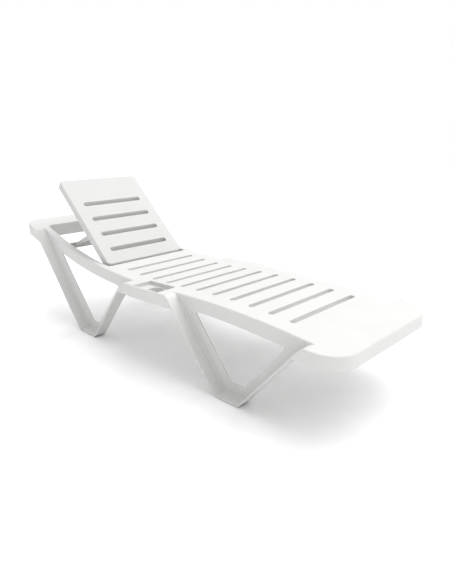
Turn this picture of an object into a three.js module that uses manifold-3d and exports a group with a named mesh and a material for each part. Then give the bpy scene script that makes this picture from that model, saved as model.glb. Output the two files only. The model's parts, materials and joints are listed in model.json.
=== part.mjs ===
// Reclining sun lounger, moulded in white polypropylene.
// Millimetres, +X towards the foot end, +Z up, the tray wing on the -Y side.
// The origin is on the ground under the middle of the lounger's bounding box.
import * as THREE from 'three';
import Module from 'manifold-3d';

const wasm = await Module();
wasm.setup();

// ---------- driving dimensions ----------
const LENGTH = 2060;
const WIDTH = 670;
const RAIL_SPAN = 560;            // over the outer faces of the two side rails
const WALL = 4;                   // wall of the frame moulding
const GAP = 0.3;                  // clearance kept between touching solids
const RAIL_WIDTH = 38;
const RAIL_DEPTH = 57;
const APRON_DEPTH = 52;           // skirt of the wings and of the foot panel
const HEAD_SKIRT_DEPTH = 66;
const HEAD_CORNER_RADIUS = 70;
const FOOT_CORNER_RADIUS = 108;

const SLOT_COUNT = 11;
const SLOT_PITCH = 98.1;
const FIRST_SLOT_X = -226;
const SLOT_WIDTH = 24;
const SLOT_LENGTH = 410;

const HEAD_BAR_INNER_X = -934;
const SEAT_START_X = -330;
const FOOT_PANEL_X = 893;

const PAD_HEIGHT = 2.2;
const PAD_END_INSET = 14;
const PAD_SIDE_INSET = 6;
const SOLE_Z = PAD_HEIGHT + GAP;  // underside of the legs' feet
const FLANGE_THICKNESS = WALL + 1;
const SKIRT_REACH = 70;           // how far a skirt is drawn past the leg that cuts it
const OUTER_HEAD_SKIRT_DEPTH = HEAD_SKIRT_DEPTH - 14;

const TRAY = { x0: -19, x1: 155, y0: -324, y1: -226, depth: 18, wall: 3 };
const CUP = { x: 72, y: -272, radius: 39, depth: 24, wall: 3 };

const BACK_ANGLE = 42.9;          // degrees above level, as the lounger stands
const BACK_FOOT = { x: -345, z: 363 };
const BACK_LENGTH = 565;
const BACK_WIDTH = 474;
const BACK_SKIRT = 35;
const BACK_CORNER_RADIUS = 22;
const BACK_SLOT_COUNT = 4;
const BACK_SLOT_FIRST = 86.5;
const BACK_SLOT_PITCH = 101.2;
const BACK_SLOT_LENGTH = 354;

const HINGE = { along: 12, below: 28, radius: 5, headRadius: 7.5, inside: 4, headLength: 4 };
const PROP_PIVOT_ALONG = 212;
const PROP_PIN = { radius: 5, capRadius: 8, capLength: 4 };
const PROP_BAR = { x: -715, z: 405.5, thickness: 12, height: 29, length: 472 };
const PROP_ARM = { y: 203, width: 13, height: 24, taper: 0.8 };
const LUG = { y: 193, width: 6, reach: 15, belowPin: 10 };
const RACK = {
  width: 17.5,
  depth: 17,
  clearance: 5,
  notchCount: 5,
  notchPitch: 43,
  notchDepth: 6,
  notchHalf: 9,
  notchRamp: 3,
  restNotch: 3,                   // notches between the hinge end and the bar at rest
  tail: 30,
};

// Extents that only have to pass right through the part.
const BELOW = -100;
const ABOVE = 900;
const BEYOND = 1200;
const OVERCUT = 1;

// The line of the deck's top, from the raised head end to the foot end.
const DECK_LINE = [
  [-1030, 524], [-860, 471], [-650, 411], [-440, 372], [-226, 352.5], [-30, 344],
  [166, 349], [362, 354], [559, 350.5], [755, 338], [893, 324.5], [1030, 315],
];

// Each leg is a V: its outer face runs down from the deck, along the ground and up again.
// The inner points bound the open triangle below the rail.
const HEAD_LEG = {
  outer: [[-917, 477], [-516, 0], [-372, 0], [-80, 344]],
  inner: [[-737, 376], [-466, 54], [-403, 54], [-190, 300]],
};
const FOOT_LEG = {
  outer: [[213, 350], [497, 0], [619, 0], [902, 324]],
  inner: [[327, 300], [534, 54], [600, 54], [797, 280]],
};

// ---------- materials ----------
function plastic(color, roughness) {
  return new THREE.MeshStandardMaterial({ color, roughness, metalness: 0 });
}
const WHITE = '#f0efed';
const OFF_WHITE = '#e6e5e2';
const PAD_GREY = '#b9b8b4';

// ---------- solids: three.js geometry to and from manifold ----------
function toSolid(geometry) {
  const plain = geometry.index ? geometry.toNonIndexed() : geometry.clone();
  plain.deleteAttribute('normal');
  plain.deleteAttribute('uv');
  const merged = mergeByPosition(plain);
  return new wasm.Manifold(new wasm.Mesh({
    numProp: 3,
    vertProperties: merged.vertices,
    triVerts: merged.triangles,
  }));
}

function mergeByPosition(geometry) {
  const position = geometry.getAttribute('position');
  const known = new Map();
  const vertices = [];
  const corners = [];
  for (let i = 0; i < position.count; i += 1) {
    const point = [position.getX(i), position.getY(i), position.getZ(i)];
    const key = point.map((value) => Math.round(value * 1e4)).join(',');
    if (!known.has(key)) {
      known.set(key, vertices.length / 3);
      vertices.push(...point);
    }
    corners.push(known.get(key));
  }
  const triangles = [];
  for (let i = 0; i < corners.length; i += 3) {
    const [a, b, c] = corners.slice(i, i + 3);
    if (a !== b && b !== c && c !== a) triangles.push(a, b, c);
  }
  return { vertices: new Float32Array(vertices), triangles: new Uint32Array(triangles) };
}

function toGeometry(solid) {
  const mesh = solid.getMesh();
  const geometry = new THREE.BufferGeometry();
  const points = [];
  for (let i = 0; i < mesh.numVert; i += 1) {
    points.push(...mesh.vertProperties.slice(i * mesh.numProp, i * mesh.numProp + 3));
  }
  geometry.setAttribute('position', new THREE.Float32BufferAttribute(points, 3));
  geometry.setIndex(Array.from(mesh.triVerts));
  geometry.computeVertexNormals();
  return geometry;
}

// ---------- plain shapes ----------
function box(x0, x1, y0, y1, z0, z1) {
  const geometry = new THREE.BoxGeometry(x1 - x0, y1 - y0, z1 - z0);
  geometry.translate((x0 + x1) / 2, (y0 + y1) / 2, (z0 + z1) / 2);
  return toSolid(geometry);
}

function polygon(points) {
  return new THREE.Shape(points.map(([a, b]) => new THREE.Vector2(a, b)));
}

// A plan shape (x, y), extruded upwards from z0 to z1.
function planPrism(shape, z0, z1, curveSegments = 8) {
  const settings = { depth: z1 - z0, bevelEnabled: false, curveSegments };
  const geometry = new THREE.ExtrudeGeometry(shape, settings);
  geometry.translate(0, 0, z0);
  return toSolid(geometry);
}

// A side shape (x, z), extruded across from y0 to y1.
function sidePrism(shape, y0, y1, curveSegments = 8) {
  const settings = { depth: y1 - y0, bevelEnabled: false, curveSegments };
  const geometry = new THREE.ExtrudeGeometry(shape, settings);
  geometry.rotateX(Math.PI / 2);
  geometry.translate(0, y1, 0);
  return toSolid(geometry);
}

// A cylinder along Y.
function crossPin(x, z, radius, y0, y1, sides = 32) {
  const geometry = new THREE.CylinderGeometry(radius, radius, Math.abs(y1 - y0), sides);
  geometry.translate(x, (y0 + y1) / 2, z);
  return toSolid(geometry);
}

function stadium(x, y, width, length) {
  const r = width / 2;
  const straight = length / 2 - r;
  const shape = new THREE.Shape();
  shape.absarc(x, y + straight, r, 0, Math.PI, false);
  shape.absarc(x, y - straight, r, Math.PI, 2 * Math.PI, false);
  shape.closePath();
  return shape;
}

// ---------- the deck's side view ----------
const deckCurve = new THREE.SplineCurve(DECK_LINE.map(([x, z]) => new THREE.Vector2(x, z)));
const deckSamples = deckCurve.getPoints(44);

function deckHeight(x) {
  const last = deckSamples.length - 1;
  if (x <= deckSamples[0].x) return deckSamples[0].y;
  for (let i = 0; i < last; i += 1) {
    const a = deckSamples[i];
    const b = deckSamples[i + 1];
    if (x <= b.x) return THREE.MathUtils.lerp(a.y, b.y, (x - a.x) / (b.x - a.x));
  }
  return deckSamples[last].y;
}

// A slab that follows the deck between two depths below its top.
function deckSlab(x0, x1, y0, y1, top, bottom) {
  const between = deckSamples.map((point) => point.x).filter((x) => x > x0 + 1 && x < x1 - 1);
  const stations = [x0, ...between, x1];
  const upper = stations.map((x) => [x, deckHeight(x) - top]);
  const lower = stations.map((x) => [x, deckHeight(x) - bottom]).reverse();
  return sidePrism(polygon([...upper, ...lower]), y0, y1);
}

// ---------- the two leg shapes ----------
// Moves the open outline inwards (towards its open side) by a distance.
function offsetOutline(points, distance) {
  const lines = [];
  for (let i = 0; i < points.length - 1; i += 1) {
    const [x0, z0] = points[i];
    const [x1, z1] = points[i + 1];
    const length = Math.hypot(x1 - x0, z1 - z0);
    const nx = -(z1 - z0) / length;
    const nz = (x1 - x0) / length;
    lines.push({
      x: x0 + nx * distance,
      z: z0 + nz * distance,
      dx: (x1 - x0) / length,
      dz: (z1 - z0) / length,
      length,
    });
  }
  const first = lines[0];
  const result = [[first.x, first.z]];
  for (let i = 0; i < lines.length - 1; i += 1) {
    const a = lines[i];
    const b = lines[i + 1];
    const t = ((b.x - a.x) * b.dz - (b.z - a.z) * b.dx) / (a.dx * b.dz - a.dz * b.dx);
    result.push([a.x + a.dx * t, a.z + a.dz * t]);
  }
  const end = lines[lines.length - 1];
  result.push([end.x + end.dx * end.length, end.z + end.dz * end.length]);
  return result;
}

function flangeBand(leg, outset, inset, y0, y1) {
  const raised = leg.outer.map(([x, z]) => [x, z === 0 ? SOLE_Z : z]);
  const outerSide = offsetOutline(raised, -outset);
  const innerSide = offsetOutline(raised, inset).reverse();
  return sidePrism(polygon([...outerSide, ...innerSide]), y0, y1);
}

const halfRail = RAIL_SPAN / 2;
const halfWidth = WIDTH / 2;

// Everything above the rail's underside, as a cutter for the leg.
function railZone() {
  return deckSlab(-LENGTH / 2, LENGTH / 2, 0, halfRail + GAP, BELOW, RAIL_DEPTH + GAP);
}

// What stands above the wing plate's underside.
function aboveWingPlate() {
  return deckSlab(-LENGTH / 2, LENGTH / 2, 0, halfWidth + OVERCUT, BELOW, WALL + GAP);
}

function legSolid(leg) {
  const raised = leg.outer.map(([x, z]) => [x, z === 0 ? SOLE_Z : z]);
  const web = sidePrism(polygon([...raised, ...[...leg.inner].reverse()]), halfRail - WALL, halfRail);
  const flange = flangeBand(leg, 0, FLANGE_THICKNESS, halfRail - WALL, halfWidth);
  return web.add(flange).subtract(railZone()).subtract(aboveWingPlate());
}

function flangeCutter(leg) {
  return flangeBand(leg, GAP, FLANGE_THICKNESS + GAP, halfRail - WALL, halfWidth + OVERCUT);
}

function mirrored(solid, side) {
  return side > 0 ? solid : solid.mirror([0, 1, 0]);
}

// ---------- pieces of the frame moulding ----------
function slotShapes() {
  const slots = [];
  for (let i = 0; i < SLOT_COUNT; i += 1) {
    slots.push(stadium(FIRST_SLOT_X + i * SLOT_PITCH, 0, SLOT_WIDTH, SLOT_LENGTH));
  }
  return slots;
}

const trayTop = deckHeight((TRAY.x0 + TRAY.x1) / 2);

// An upright cylinder on the cup's axis.
function cupCylinder(radius, z0, z1) {
  const geometry = new THREE.CylinderGeometry(radius, radius, z1 - z0, 28);
  geometry.rotateX(Math.PI / 2);
  geometry.translate(CUP.x, CUP.y, (z0 + z1) / 2);
  return toSolid(geometry);
}

function traySolid(margin) {
  const { x0, x1, y0, y1, depth } = TRAY;
  const floor = trayTop - depth - margin;
  const basin = box(x0 - margin, x1 + margin, y0 - margin, y1 + margin, floor, ABOVE);
  return basin.add(cupCylinder(CUP.radius + margin, floor - CUP.depth, trayTop));
}

function trayClearance() {
  return traySolid(TRAY.wall + GAP);
}

function seatDeck() {
  const inner = halfRail - RAIL_WIDTH - GAP;
  const plate = deckSlab(SEAT_START_X, FOOT_PANEL_X, -inner, inner, 0, WALL);
  const lip = deckSlab(SEAT_START_X, SEAT_START_X + WALL, -inner, inner, 0, RAIL_DEPTH / 2);
  return slotShapes().reduce(
    (deck, slot) => deck.subtract(planPrism(slot, BELOW, ABOVE, 6)),
    plate.add(lip),
  ).subtract(trayClearance());
}

function sideRail(side) {
  const inner = halfRail - RAIL_WIDTH;
  const outer = deckSlab(HEAD_BAR_INNER_X + GAP, FOOT_PANEL_X, inner, halfRail, 0, RAIL_DEPTH);
  const hollow = deckSlab(HEAD_BAR_INNER_X - OVERCUT, FOOT_PANEL_X + OVERCUT,
    inner + WALL, halfRail - WALL, WALL, RAIL_DEPTH + OVERCUT);
  const pinHole = crossPin(hinge.x, hinge.z, HINGE.radius + GAP,
    inner - OVERCUT, inner + WALL + OVERCUT);
  const rail = mirrored(outer.subtract(hollow).subtract(pinHole), side);
  return side < 0 ? rail.subtract(trayClearance()) : rail;
}

function middleWing(side) {
  const start = HEAD_LEG.outer[3][0];
  const end = FOOT_LEG.outer[0][0];
  const plate = deckSlab(start, end, halfRail + GAP, halfWidth, 0, WALL);
  const betweenLegs = sidePrism(polygon([
    [start, ABOVE],
    [end, ABOVE],
    FOOT_LEG.outer[0],
    FOOT_LEG.outer[1],
    HEAD_LEG.outer[2],
    HEAD_LEG.outer[3],
  ]), 0, halfWidth + OVERCUT);
  const apron = deckSlab(start - SKIRT_REACH, end + SKIRT_REACH,
    halfWidth - WALL, halfWidth, 0, APRON_DEPTH).intersect(betweenLegs);
  const wing = plate.add(apron)
    .subtract(flangeCutter(HEAD_LEG).subtract(aboveWingPlate()))
    .subtract(flangeCutter(FOOT_LEG).subtract(aboveWingPlate()));
  const placed = mirrored(wing, side);
  return side < 0 ? placed.subtract(trayClearance()) : placed;
}

// A plan outline with a square inner side and two rounded outer corners.
function roundedEnd(innerX, outerX, radius, inset = 0) {
  const half = halfWidth - inset;
  const end = outerX - Math.sign(outerX) * inset;
  const r = radius - inset;
  const turn = Math.sign(outerX);
  const shape = new THREE.Shape();
  shape.moveTo(innerX, -half);
  if (turn > 0) {
    shape.absarc(end - r, -half + r, r, -Math.PI / 2, 0, false);
    shape.absarc(end - r, half - r, r, 0, Math.PI / 2, false);
  } else {
    shape.absarc(end + r, -half + r, r, -Math.PI / 2, -Math.PI, true);
    shape.absarc(end + r, half - r, r, Math.PI, Math.PI / 2, true);
  }
  shape.lineTo(innerX, half);
  shape.closePath();
  return shape;
}

function footPanel() {
  const end = LENGTH / 2;
  const side = FOOT_LEG.outer[3][0];
  const startX = FOOT_PANEL_X + GAP;
  const wallX = startX - SKIRT_REACH;
  const outline = planPrism(roundedEnd(startX, end, FOOT_CORNER_RADIUS), BELOW, ABOVE);
  const inside = planPrism(roundedEnd(wallX, end, FOOT_CORNER_RADIUS, WALL), BELOW, ABOVE);
  const shoulders = box(startX - OVERCUT, side, halfRail + GAP, halfWidth + OVERCUT, BELOW, ABOVE);
  const plate = outline
    .intersect(deckSlab(startX - OVERCUT, end + OVERCUT, -halfWidth, halfWidth, 0, WALL));
  const wall = planPrism(roundedEnd(wallX, end, FOOT_CORNER_RADIUS), BELOW, ABOVE)
    .subtract(inside)
    .intersect(deckSlab(wallX, end + OVERCUT, -halfWidth, halfWidth, 0, APRON_DEPTH));
  const cutter = flangeCutter(FOOT_LEG).subtract(aboveWingPlate());
  const apronLimit = sidePrism(polygon([
    FOOT_LEG.outer[2], [BEYOND, 0], [BEYOND, ABOVE], [side, ABOVE], FOOT_LEG.outer[3],
  ]), -halfWidth - OVERCUT, halfWidth + OVERCUT);
  return plate.subtract(shoulders).subtract(shoulders.mirror([0, 1, 0]))
    .add(wall.intersect(apronLimit))
    .subtract(cutter)
    .subtract(cutter.mirror([0, 1, 0]));
}

function headBar() {
  const end = -LENGTH / 2;
  const tabEnd = HEAD_LEG.outer[0][0];
  const outerX = tabEnd + SKIRT_REACH;
  const openingHalf = halfRail - RAIL_WIDTH;
  const full = planPrism(roundedEnd(outerX, end, HEAD_CORNER_RADIUS), BELOW, ABOVE);
  const core = planPrism(roundedEnd(outerX, end, HEAD_CORNER_RADIUS, WALL), BELOW, ABOVE);
  const opening = box(HEAD_BAR_INNER_X, outerX + OVERCUT,
    -halfRail - GAP, halfRail + GAP, BELOW, ABOVE);
  const inner = box(HEAD_BAR_INNER_X - WALL, HEAD_BAR_INNER_X,
    -openingHalf, openingHalf, BELOW, ABOVE);
  const slab = (depth) => deckSlab(end - OVERCUT, outerX, -halfWidth, halfWidth, 0, depth);
  const limit = sidePrism(polygon([
    [end - OVERCUT, ABOVE], [tabEnd, ABOVE], HEAD_LEG.outer[0], HEAD_LEG.outer[1], [end - OVERCUT, 0],
  ]), -halfWidth - OVERCUT, halfWidth + OVERCUT);
  const top = full.subtract(opening).intersect(slab(WALL)).intersect(limit);
  const skirt = full.subtract(core)
    .subtract(opening)
    .intersect(slab(OUTER_HEAD_SKIRT_DEPTH))
    .intersect(limit);
  const innerSkirt = inner.intersect(slab(HEAD_SKIRT_DEPTH));
  const cutter = flangeCutter(HEAD_LEG).subtract(aboveWingPlate());
  return top.add(skirt).add(innerSkirt)
    .subtract(cutter)
    .subtract(cutter.mirror([0, 1, 0]));
}

function cupTray() {
  const shell = traySolid(TRAY.wall).subtract(traySolid(0));
  return shell.subtract(box(-LENGTH, LENGTH, -WIDTH, WIDTH, trayTop, ABOVE));
}

function legPiece(leg, side) {
  return mirrored(legSolid(leg), side);
}

function solePad(leg, side) {
  const x0 = leg.outer[1][0] + PAD_END_INSET;
  const x1 = leg.outer[2][0] - PAD_END_INSET;
  const pad = box(x0, x1, halfRail + PAD_SIDE_INSET, halfWidth - PAD_SIDE_INSET, 0, PAD_HEIGHT);
  return mirrored(pad, side);
}

// ---------- the backrest and its prop ----------
const backTurn = THREE.MathUtils.degToRad(BACK_ANGLE);

// A point given along the panel and below its face, in the lounger's side view.
function onBack(along, below) {
  return {
    x: BACK_FOOT.x - along * Math.cos(backTurn) - below * Math.sin(backTurn),
    z: BACK_FOOT.z + along * Math.sin(backTurn) - below * Math.cos(backTurn),
  };
}
const hinge = onBack(HINGE.along, HINGE.below);
const propPivot = onBack(PROP_PIVOT_ALONG, HINGE.below);

// The panel is built lying flat, running towards -X from its lower edge, then tilted.
function tilted(solid) {
  return solid.rotate([0, BACK_ANGLE, 0]).translate([BACK_FOOT.x, 0, BACK_FOOT.z]);
}

function roundedRect(x0, x1, y0, y1, r) {
  const shape = new THREE.Shape();
  shape.absarc(x1 - r, y1 - r, r, 0, Math.PI / 2, false);
  shape.absarc(x0 + r, y1 - r, r, Math.PI / 2, Math.PI, false);
  shape.absarc(x0 + r, y0 + r, r, Math.PI, 1.5 * Math.PI, false);
  shape.absarc(x1 - r, y0 + r, r, 1.5 * Math.PI, 2 * Math.PI, false);
  shape.closePath();
  return shape;
}

function backrestPanel() {
  const half = BACK_WIDTH / 2;
  const outline = roundedRect(-BACK_LENGTH, 0, -half, half, BACK_CORNER_RADIUS);
  const inset = roundedRect(-BACK_LENGTH + WALL, -WALL,
    -half + WALL, half - WALL, BACK_CORNER_RADIUS - WALL);
  let panel = planPrism(outline, -BACK_SKIRT, 0, 5)
    .subtract(planPrism(inset, -BACK_SKIRT - OVERCUT, -WALL, 5));
  for (let i = 0; i < BACK_SLOT_COUNT; i += 1) {
    const x = -(BACK_SLOT_FIRST + i * BACK_SLOT_PITCH);
    panel = panel.subtract(planPrism(stadium(x, 0, SLOT_WIDTH, BACK_SLOT_LENGTH), BELOW, ABOVE, 6));
  }
  for (const side of [-1, 1]) {
    const low = side * LUG.y - LUG.width / 2;
    const high = side * LUG.y + LUG.width / 2;
    const lug = box(-PROP_PIVOT_ALONG - LUG.reach, -PROP_PIVOT_ALONG + LUG.reach,
      low, high, -HINGE.below - LUG.belowPin, -WALL + OVERCUT);
    const lugHole = crossPin(-PROP_PIVOT_ALONG, -HINGE.below, PROP_PIN.radius + GAP,
      low - OVERCUT, high + OVERCUT);
    const hingeHole = crossPin(-HINGE.along, -HINGE.below, HINGE.radius + GAP,
      side * (half - BACK_CORNER_RADIUS), side * (half + OVERCUT));
    panel = panel.add(lug).subtract(lugHole).subtract(hingeHole);
  }
  return tilted(panel);
}

function hingePin(side) {
  const skirtInside = BACK_WIDTH / 2 - WALL - HINGE.inside;
  const webInside = halfRail - RAIL_WIDTH + WALL;
  const end = webInside + HINGE.headLength;
  const shank = crossPin(hinge.x, hinge.z, HINGE.radius, skirtInside, end - GAP);
  const head = crossPin(hinge.x, hinge.z, HINGE.headRadius, webInside + GAP, end);
  return mirrored(shank.add(head), side);
}

function propPin(side) {
  const { radius, capRadius, capLength } = PROP_PIN;
  const lugInside = LUG.y - LUG.width / 2;
  const armOutside = PROP_ARM.y + PROP_ARM.width / 2;
  const start = lugInside - capLength;
  const end = armOutside + capLength;
  const shank = crossPin(propPivot.x, propPivot.z, radius, start + GAP, end - GAP);
  const innerCap = crossPin(propPivot.x, propPivot.z, capRadius, start, lugInside - GAP);
  const outerCap = crossPin(propPivot.x, propPivot.z, capRadius, armOutside + GAP, end);
  return mirrored(shank.add(innerCap).add(outerCap), side);
}

function propFrame() {
  const dx = PROP_BAR.x - propPivot.x;
  const dz = PROP_BAR.z - propPivot.z;
  const reach = Math.hypot(dx, dz);
  const r = PROP_ARM.height / 2;
  const arm = new THREE.Shape();
  arm.absarc(0, 0, r, -Math.PI / 2, -1.5 * Math.PI, true);
  arm.lineTo(reach, r * PROP_ARM.taper);
  arm.lineTo(reach, -r * PROP_ARM.taper);
  arm.closePath();
  const armSolid = sidePrism(arm, PROP_ARM.y - PROP_ARM.width / 2, PROP_ARM.y + PROP_ARM.width / 2)
    .subtract(crossPin(0, 0, PROP_PIN.radius + GAP, 0, PROP_ARM.y + PROP_ARM.width))
    .rotate([0, -THREE.MathUtils.radToDeg(Math.atan2(dz, dx)), 0])
    .translate([propPivot.x, 0, propPivot.z]);
  const bar = box(PROP_BAR.x - PROP_BAR.thickness / 2, PROP_BAR.x + PROP_BAR.thickness / 2,
    -PROP_BAR.length / 2, PROP_BAR.length / 2,
    PROP_BAR.z - PROP_BAR.height / 2, PROP_BAR.z + PROP_BAR.height / 2);
  return bar.add(armSolid).add(mirrored(armSolid, -1));
}

// A toothed ledge inside each rail, just below the path of the prop's bar.
function notchRack(side) {
  const lineAngle = Math.atan2(PROP_BAR.z - hinge.z, hinge.x - PROP_BAR.x);
  const restDistance = Math.hypot(PROP_BAR.x - hinge.x, PROP_BAR.z - hinge.z);
  const top = -PROP_BAR.height / 2 - RACK.clearance;
  const root = top - RACK.notchDepth;
  const base = top - RACK.depth;
  const point = (distance, rise) => [
    hinge.x - distance * Math.cos(lineAngle) - rise * Math.sin(lineAngle),
    hinge.z + distance * Math.sin(lineAngle) + rise * Math.cos(lineAngle),
  ];
  const half = RACK.notchPitch / 2;
  const first = restDistance - RACK.restNotch * RACK.notchPitch;
  const teeth = [];
  for (let i = 0; i < RACK.notchCount; i += 1) {
    const at = first + i * RACK.notchPitch;
    teeth.push(point(at - half, top));
    teeth.push(point(at - RACK.notchHalf, top));
    teeth.push(point(at - RACK.notchHalf + RACK.notchRamp, root));
    teeth.push(point(at + RACK.notchHalf, root));
  }
  const start = first - half;
  const lastTooth = first + (RACK.notchCount - 0.5) * RACK.notchPitch;
  const end = lastTooth + RACK.tail;
  const outline = polygon([
    ...teeth,
    point(lastTooth, top),
    point(end, top),
    point(end, base),
    point(start, base),
  ]);
  const y1 = halfRail - RAIL_WIDTH - GAP;
  return mirrored(sidePrism(outline, y1 - RACK.width, y1), side);
}

// ---------- assembly ----------
const lounger = new THREE.Group();

function addPiece(name, solid, color, roughness = 0.45) {
  const mesh = new THREE.Mesh(toGeometry(solid), plastic(color, roughness));
  mesh.name = name;
  lounger.add(mesh);
}

addPiece('seat_deck', seatDeck(), WHITE);
addPiece('foot_panel', footPanel(), WHITE);
addPiece('head_bar', headBar(), WHITE);
addPiece('cup_tray', cupTray(), WHITE);
addPiece('backrest_panel', backrestPanel(), WHITE);
addPiece('prop_frame', propFrame(), OFF_WHITE);
for (const [label, side] of [['right', -1], ['left', 1]]) {
  addPiece(`side_rail_${label}`, sideRail(side), WHITE);
  addPiece(`middle_wing_${label}`, middleWing(side), WHITE);
  addPiece(`head_leg_${label}`, legPiece(HEAD_LEG, side), WHITE);
  addPiece(`foot_leg_${label}`, legPiece(FOOT_LEG, side), WHITE);
  addPiece(`notch_rack_${label}`, notchRack(side), WHITE);
  addPiece(`hinge_pin_${label}`, hingePin(side), OFF_WHITE, 0.4);
  addPiece(`prop_pin_${label}`, propPin(side), OFF_WHITE, 0.4);
  addPiece(`head_foot_pad_${label}`, solePad(HEAD_LEG, side), PAD_GREY, 0.8);
  addPiece(`foot_foot_pad_${label}`, solePad(FOOT_LEG, side), PAD_GREY, 0.8);
}

export default lounger;
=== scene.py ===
import json
import math

import bmesh
import bpy
from mathutils import Matrix, Vector


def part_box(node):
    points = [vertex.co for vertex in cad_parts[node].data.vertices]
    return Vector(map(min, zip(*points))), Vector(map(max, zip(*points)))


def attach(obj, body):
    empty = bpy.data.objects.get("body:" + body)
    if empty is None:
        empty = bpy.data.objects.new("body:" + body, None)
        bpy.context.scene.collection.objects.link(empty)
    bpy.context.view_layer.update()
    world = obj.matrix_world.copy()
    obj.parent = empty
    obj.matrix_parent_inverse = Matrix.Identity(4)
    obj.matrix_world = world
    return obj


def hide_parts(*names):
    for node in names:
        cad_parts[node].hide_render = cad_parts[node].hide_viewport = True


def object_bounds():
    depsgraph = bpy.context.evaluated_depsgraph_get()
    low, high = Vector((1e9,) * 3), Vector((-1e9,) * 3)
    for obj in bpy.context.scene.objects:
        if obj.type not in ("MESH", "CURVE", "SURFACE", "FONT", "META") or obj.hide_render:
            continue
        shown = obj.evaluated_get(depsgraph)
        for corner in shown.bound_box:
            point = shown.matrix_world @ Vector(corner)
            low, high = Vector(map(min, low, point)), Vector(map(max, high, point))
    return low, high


bl_info = {
    "name": "Moulded Sun Lounger",
    "version": (1, 0, 0),
    "blender": (4, 5, 0),
    "location": "View3D > Sidebar > Lounger",
    "description": "Builds a reclining sun lounger in moulded polypropylene round its packed frame",
    "category": "Add Mesh",
}

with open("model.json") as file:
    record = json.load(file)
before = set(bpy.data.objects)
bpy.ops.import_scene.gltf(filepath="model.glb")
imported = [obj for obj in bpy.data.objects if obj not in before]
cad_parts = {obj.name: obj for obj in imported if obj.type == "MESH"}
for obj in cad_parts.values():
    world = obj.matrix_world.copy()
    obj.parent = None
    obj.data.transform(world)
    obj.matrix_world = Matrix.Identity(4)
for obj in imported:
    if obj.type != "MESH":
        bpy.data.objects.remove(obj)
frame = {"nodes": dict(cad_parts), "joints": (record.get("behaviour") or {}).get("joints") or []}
CAD_LOW, CAD_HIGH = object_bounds()

MM = 0.001                 # every shape is drawn in millimetres and scaled to metres when it is done
FAR = 3000.0               # further than any side of the lounger


# ---------------------------------------------------------------- places taken from the frame
def node_box(name):
    """A CAD node's low and high corners in millimetres."""
    low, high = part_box(name)
    return low / MM, high / MM


HEAD_X = CAD_LOW.x / MM
FOOT_X = CAD_HIGH.x / MM
HALF_WIDTH = CAD_HIGH.y / MM
RAIL_LOW, RAIL_HIGH = node_box("side_rail_left")
HALF_RAIL = RAIL_HIGH.y
OPENING_HALF = RAIL_LOW.y
OPENING_HEAD_X = RAIL_LOW.x
SEAT_X = node_box("seat_deck")[0].x
HEAD_LEG_LOW, HEAD_LEG_HIGH = node_box("head_leg_left")
FOOT_LEG_LOW, FOOT_LEG_HIGH = node_box("foot_leg_left")
APRON_DEPTH = 52.0
RAIL_DEPTH = 57.0
HEAD_SKIRT_DEPTH = 66.0
PAD_TO_SOLE = 14.0         # the pads stop this far inside the ends of the soles
SLOT_PITCH = 98.1
FIRST_SLOT_X = -226.0
SLOT_COUNT = 11
SLOT_LENGTH = 410.0
JOINTS = {joint["name"]: joint for joint in frame["joints"]}
HINGE = Vector(JOINTS["backrest_tilt"]["pos_m"]) / MM
PROP_PIVOT = Vector(JOINTS["prop_fold"]["pos_m"]) / MM
PIN_HOLE = 5.3             # radius of the holes that the pins turn in
BACK_ANGLE = math.radians(42.9)


def deck_points():
    """The deck's side view: the rail's top edge in the frame, carried on to both ends."""
    rows = {}
    for vertex in frame["nodes"]["side_rail_left"].data.vertices:
        if abs(vertex.co.y / MM - HALF_RAIL) < 0.1:
            x = round(vertex.co.x / MM, 2)
            rows[x] = max(rows.get(x, -FAR), vertex.co.z / MM)
    middle = sorted(rows.items())
    head_z = node_box("head_bar")[1].z
    foot_z = node_box("foot_panel")[0].z + APRON_DEPTH
    return [(HEAD_X, head_z)] + middle + [(FOOT_X, foot_z)]


DECK = deck_points()


def deck(x):
    """Height of the deck's top at x, on a smooth curve through its points."""
    if x <= DECK[0][0]:
        return DECK[0][1]
    if x >= DECK[-1][0]:
        return DECK[-1][1]
    i = max(j for j in range(len(DECK) - 1) if DECK[j][0] <= x)
    (x1, z1), (x2, z2) = DECK[i], DECK[i + 1]
    x0, z0 = DECK[max(i - 1, 0)]
    x3, z3 = DECK[min(i + 2, len(DECK) - 1)]
    slope1 = (z2 - z0) / (x2 - x0)
    slope2 = (z3 - z1) / (x3 - x1)
    width = x2 - x1
    t = (x - x1) / width
    return ((2 * t**3 - 3 * t**2 + 1) * z1 + (t**3 - 2 * t**2 + t) * width * slope1
            + (-2 * t**3 + 3 * t**2) * z2 + (t**3 - t**2) * width * slope2)


# ---------------------------------------------------------------- the V of each leg
def leg_outline(low, high, pad):
    """The four corners of a leg's outer face: down, along the ground, up."""
    pad_low, pad_high = node_box(pad)
    sole = low.z
    return [(low.x, deck(low.x)), (pad_low.x - PAD_TO_SOLE, sole),
            (pad_high.x + PAD_TO_SOLE, sole), (high.x, deck(high.x))]


HEAD_V = leg_outline(HEAD_LEG_LOW, HEAD_LEG_HIGH, "head_foot_pad_left")
FOOT_V = leg_outline(FOOT_LEG_LOW, FOOT_LEG_HIGH, "foot_foot_pad_left")
# How wide each arm's web is, along X, on its head side and its foot side, and how high it is at the sole.
HEAD_WEB = {"head_side": 95.0, "foot_side": 75.0, "rise": 54.0}
FOOT_WEB = {"head_side": 77.0, "foot_side": 66.0, "rise": 54.0}


# ---------------------------------------------------------------- properties
def linear(code):
    """A linear RGBA colour from an sRGB hex code."""
    values = [int(code.lstrip("#")[i:i + 2], 16) / 255 for i in (0, 2, 4)]
    return [v / 12.92 if v <= 0.04045 else ((v + 0.055) / 1.055) ** 2.4 for v in values] + [1.0]


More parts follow.
